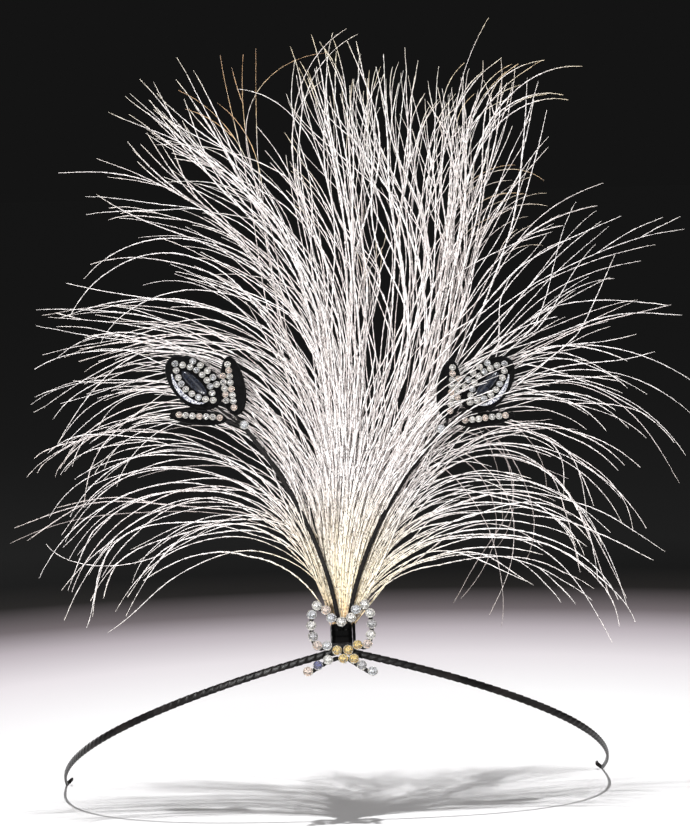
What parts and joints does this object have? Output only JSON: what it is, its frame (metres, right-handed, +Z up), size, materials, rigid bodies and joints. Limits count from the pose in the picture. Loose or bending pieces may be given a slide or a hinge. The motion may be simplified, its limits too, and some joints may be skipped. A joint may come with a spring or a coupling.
{
  "type": "feather crown",
  "caption": "Feather crown: a plume of fine white strands rises from a jewelled bow with two leaf sprays on a thin wrapped half-circle head band",
  "frame": {"origin": "The middle between the two ends of the head band, on its mid-line, where the band sits on the head", "axes": "+Z up with the crown as worn and tipped up at its front, -Y to the front where the bow is, +X to the side"},
  "size_m": [0.1856, 0.1225, 0.2223],
  "materials": {
    "band_tape": "satin tape wound on wire",
    "wire_tape": "black tape wound on wire",
    "leaf_velvet": "black velvet with small cut stones set on it",
    "rhinestone": "foil-backed cut glass",
    "feather": "bleached feather strands"
  },
  "bodies": {
    "root": {"head_band": "band_tape", "bow_knot": "wire_tape", "bow_loop_left": "wire_tape", "bow_loop_right": "wire_tape", "bow_tail_left": "wire_tape", "bow_tail_right": "wire_tape", "bow_stone_01": "rhinestone", "bow_stone_02": "rhinestone", "bow_stone_03": "rhinestone", "bow_stone_04": "rhinestone", "bow_stone_05": "rhinestone", "bow_stone_06": "rhinestone", "bow_stone_07": "rhinestone", "bow_stone_08": "rhinestone", "bow_stone_09": "rhinestone", "bow_stone_10": "rhinestone", "bow_stone_11": "rhinestone", "bow_stone_12": "rhinestone", "bow_stone_13": "rhinestone", "bow_stone_14": "rhinestone", "bow_stone_15": "rhinestone", "bow_stone_16": "rhinestone", "bow_stone_17": "rhinestone", "bow_stone_18": "rhinestone", "bow_stone_19": "rhinestone", "bow_stone_20": "rhinestone", "bow_stone_21": "rhinestone", "bow_stone_22": "rhinestone", "bow_stone_23": "rhinestone", "bow_stone_24": "rhinestone", "bow_stone_25": "rhinestone", "bow_stone_26": "rhinestone", "motif_stem_left": "wire_tape", "motif_stem_right": "wire_tape", "leaf_inner_left": "leaf_velvet", "leaf_middle_left": "leaf_velvet", "leaf_outer_left": "leaf_velvet", "leaf_inner_right": "leaf_velvet", "leaf_middle_right": "leaf_velvet", "leaf_outer_right": "leaf_velvet", "motif_stone_left": "rhinestone", "motif_stone_right": "rhinestone", "plume": "feather"}
  },
  "joints": []
}
